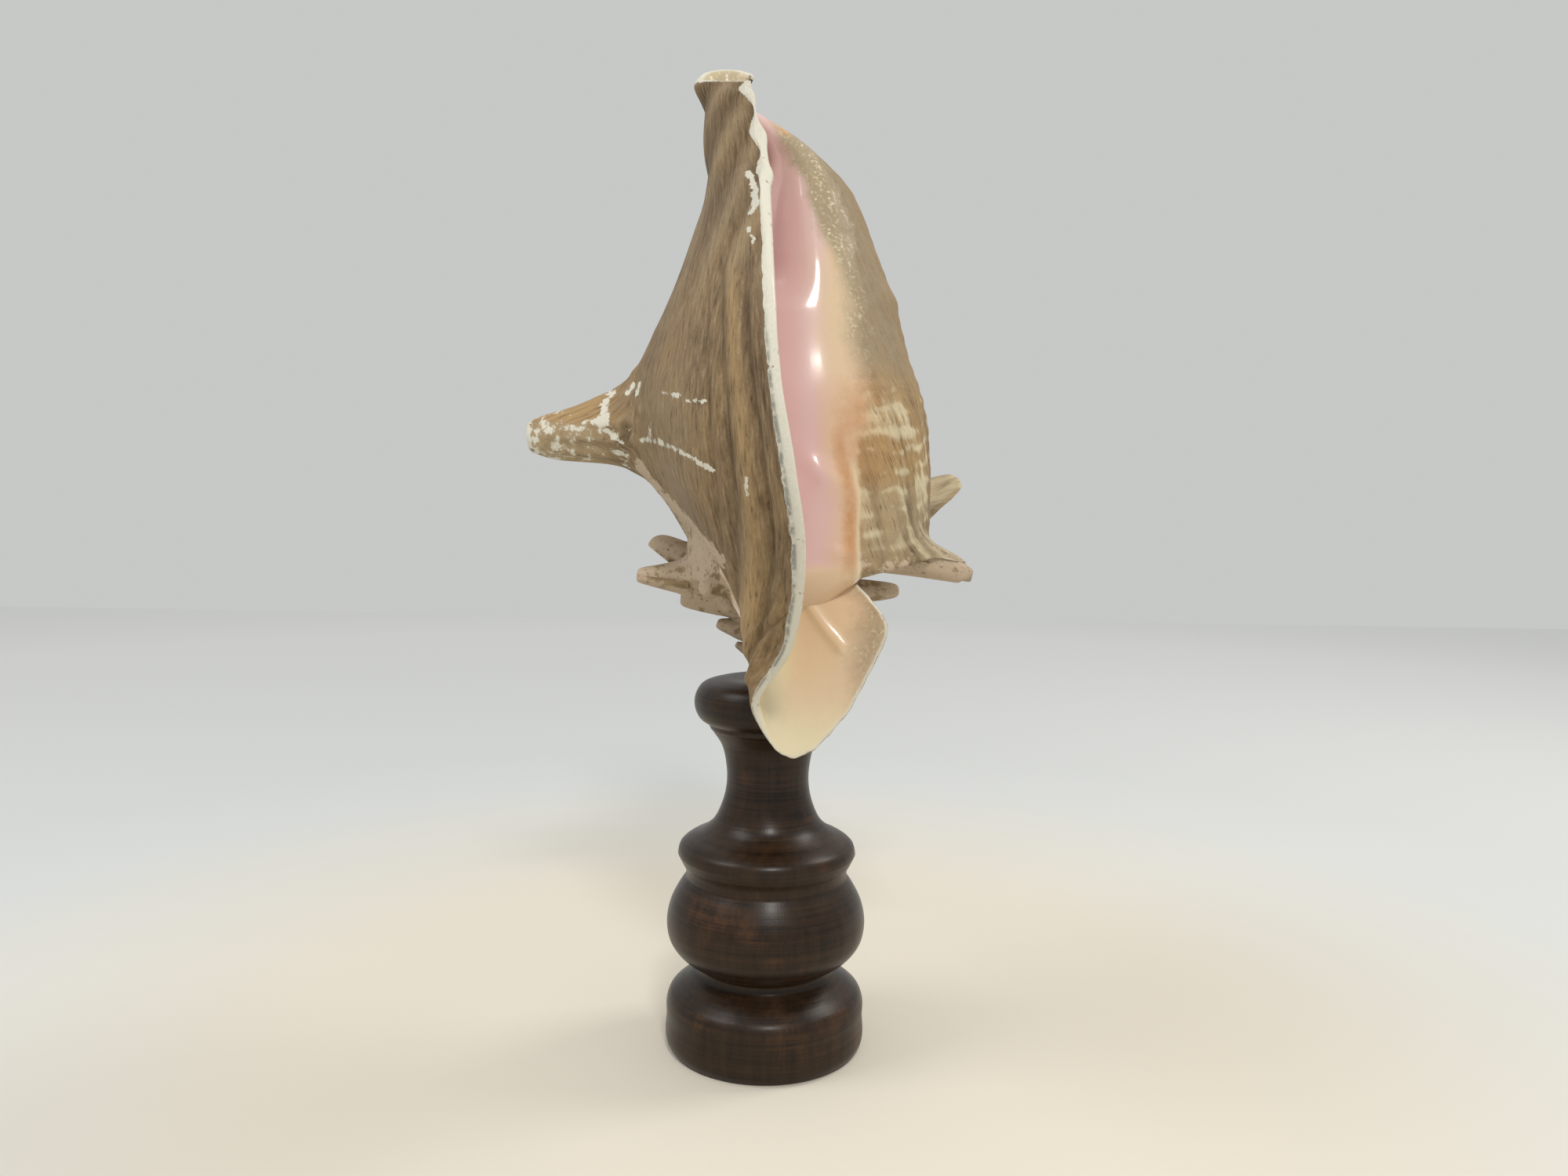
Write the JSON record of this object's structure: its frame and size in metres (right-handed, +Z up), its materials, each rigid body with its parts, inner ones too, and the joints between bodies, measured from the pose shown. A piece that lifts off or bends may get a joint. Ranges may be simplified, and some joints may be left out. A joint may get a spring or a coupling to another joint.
{
  "type": "conch shell on stand",
  "caption": "Large spined conch shell with a flared lip and glossy pink aperture, standing canal up on a dark turned wooden stand.",
  "frame": {"origin": "centre of the stand's foot, on its underside", "axes": "+Z up along the stand's turning axis; the shell's lip points to -Y and its aperture faces +X"},
  "size_m": [0.1602, 0.172, 0.3438],
  "materials": {
    "shell": "natural shell: matt fibrous brown outside, glossy pink and peach inside",
    "stand": "dark stained, satin, a little worn"
  },
  "bodies": {
    "root": {"shell": "shell", "stand": "stand"}
  },
  "joints": []
}
